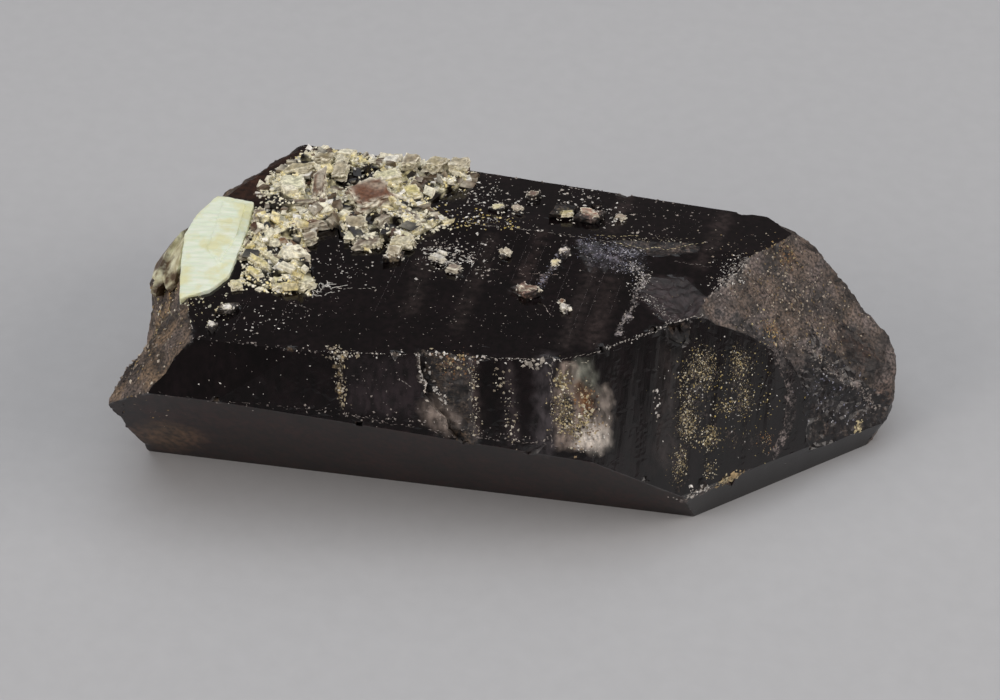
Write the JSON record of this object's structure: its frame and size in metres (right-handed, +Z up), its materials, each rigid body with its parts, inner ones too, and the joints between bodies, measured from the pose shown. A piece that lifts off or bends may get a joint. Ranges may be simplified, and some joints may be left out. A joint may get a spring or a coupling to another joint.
{
  "type": "smoky quartz crystal specimen",
  "caption": "Black smoky quartz crystal lying on a prism face, broken at both ends, with a feldspar crust on its top face and a pale feldspar block at its root.",
  "frame": {"origin": "middle of the specimen's outline, on the level of the face that it rests on", "axes": "+X along the crystal's long c axis towards its tip, +Y to the back, +Z up from the resting face"},
  "size_m": [0.1096, 0.0609, 0.0338],
  "materials": {
    "morion": "glassy natural crystal faces, grey and granular where broken, opaque",
    "crust": "rough crust of small cream and brown feldspar crystals",
    "pale_feldspar": "satin cleavage faces of pale green-white feldspar",
    "cream_feldspar": "satin fibrous cream feldspar"
  },
  "bodies": {
    "root": {"morion_crystal": "morion", "crust": "crust", "feldspar_block": "pale_feldspar", "feldspar_blades": "cream_feldspar"}
  },
  "joints": []
}
